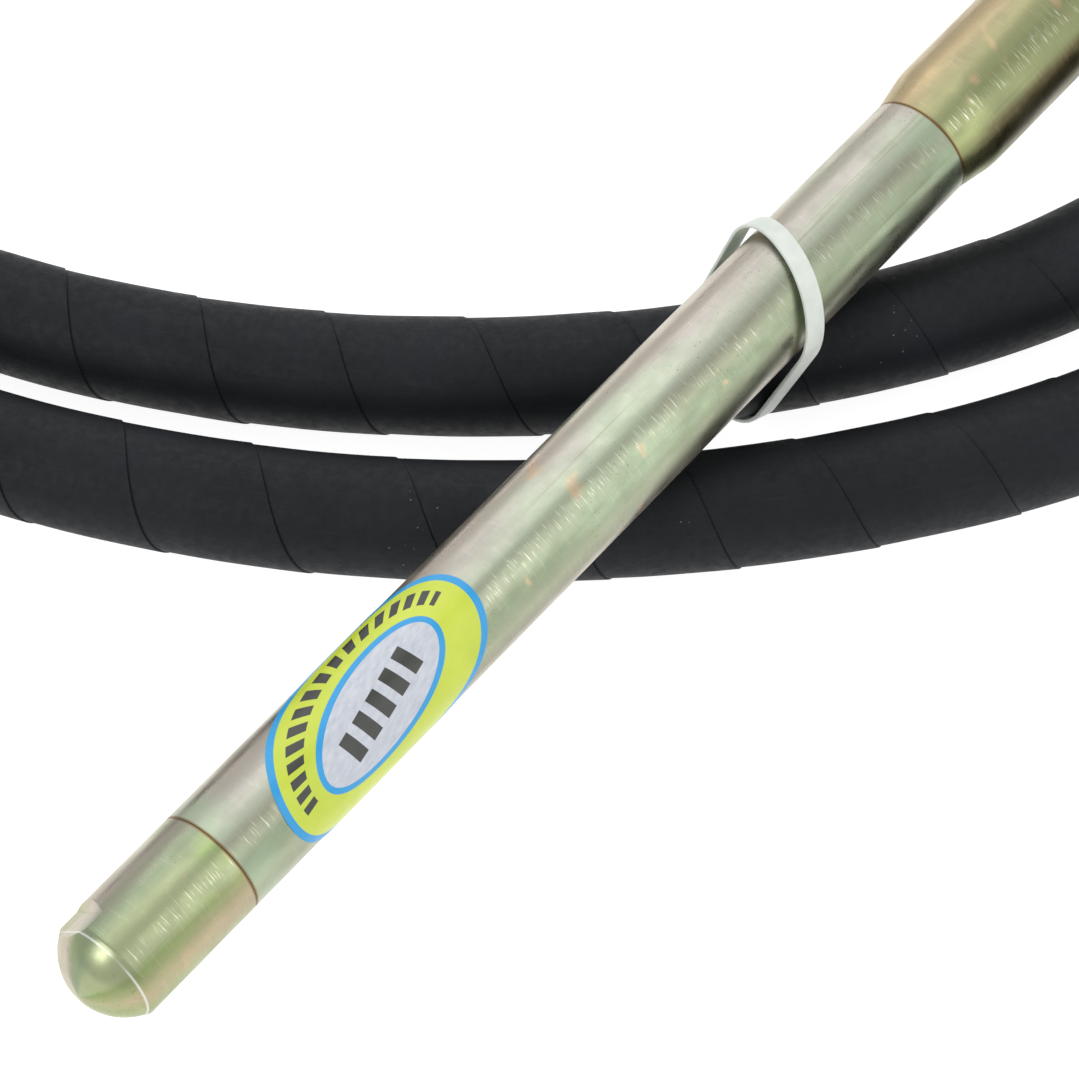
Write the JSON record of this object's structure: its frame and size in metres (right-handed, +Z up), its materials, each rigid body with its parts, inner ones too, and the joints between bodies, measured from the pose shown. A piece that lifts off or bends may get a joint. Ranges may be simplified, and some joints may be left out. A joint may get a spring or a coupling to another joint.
{
  "type": "concrete vibrator",
  "caption": "Slim steel poker head with an eccentric rotor inside, driven through a coiled rubber flexible-shaft hose, with a cable tie and a motor coupling.",
  "frame": {"origin": "middle of the vibrating head, on its axis", "axes": "+X along the head from its nose to its hose coupling, +Z up from the floor that the hose lies on"},
  "size_m": [0.6303, 0.5359, 0.0615],
  "materials": {
    "zinc_plate": "yellow-passivated zinc plate on turned steel",
    "bearing_steel": "ground bearing steel",
    "core_wire": "greased wound wire",
    "bush_bronze": "sintered bronze",
    "seal_rubber": "matt black rubber",
    "hose_rubber": "cloth-wrapped black rubber, matt",
    "tie_nylon": "natural nylon",
    "label_film": "printed film"
  },
  "bodies": {
    "head_and_hose": {"nose_cap": "zinc_plate", "nose_o_ring": "seal_rubber", "vibrator_tube": "zinc_plate", "tube_label": "label_film", "bearing_wave_washer": "bearing_steel", "front_bearing_outer_ring": "bearing_steel", "rear_bearing_outer_ring": "bearing_steel", "bearing_retaining_ring": "bearing_steel", "shaft_seal": "seal_rubber", "hose_coupling": "zinc_plate", "coupling_o_ring": "seal_rubber", "core_guide_bush": "bush_bronze", "drive_hose": "hose_rubber", "cable_tie": "tie_nylon", "machine_end_ferrule": "zinc_plate", "machine_end_body": "zinc_plate", "spindle_bush": "bush_bronze", "spindle_retaining_ring": "bearing_steel"},
    "rotor": {"eccentric_rotor": "bearing_steel", "front_bearing_inner_ring": "bearing_steel", "rear_bearing_inner_ring": "bearing_steel", "drive_socket": "bearing_steel", "core_end_tip": "bearing_steel", "flexible_core": "core_wire"},
    "front_cage": {"front_bearing_ball_cage": "bearing_steel"},
    "rear_cage": {"rear_bearing_ball_cage": "bearing_steel"},
    "spindle": {"drive_spindle": "bearing_steel"},
    "nut": {"union_nut": "zinc_plate"}
  },
  "joints": [
    {"name": "rotor_spin", "type": "hinge", "parent": "head_and_hose", "child": "rotor", "pos_m": [0, 0, 0], "axis": [1, 0, 0], "continuous": true},
    {"name": "front_cage_spin", "type": "hinge", "parent": "head_and_hose", "child": "front_cage", "pos_m": [-0.1274, 0, 0], "axis": [1, 0, 0], "continuous": true},
    {"name": "rear_cage_spin", "type": "hinge", "parent": "head_and_hose", "child": "rear_cage", "pos_m": [0.0833, 0, 0], "axis": [1, 0, 0], "continuous": true},
    {"name": "spindle_spin", "type": "hinge", "parent": "head_and_hose", "child": "spindle", "pos_m": [0.41118, 0.12553, -0.02509], "axis": [0.2196, 0.9755, 0.0151], "continuous": true},
    {"name": "union_nut_spin", "type": "hinge", "parent": "head_and_hose", "child": "nut", "pos_m": [0.41755, 0.15382, -0.02466], "axis": [0.2196, 0.9755, 0.0151], "continuous": true}
  ],
  "couplings": [
    {"joint": "front_cage_spin", "follows": "rotor_spin", "ratio": 0.3855},
    {"joint": "rear_cage_spin", "follows": "rotor_spin", "ratio": 0.3855},
    {"joint": "spindle_spin", "follows": "rotor_spin", "ratio": 1}
  ]
}
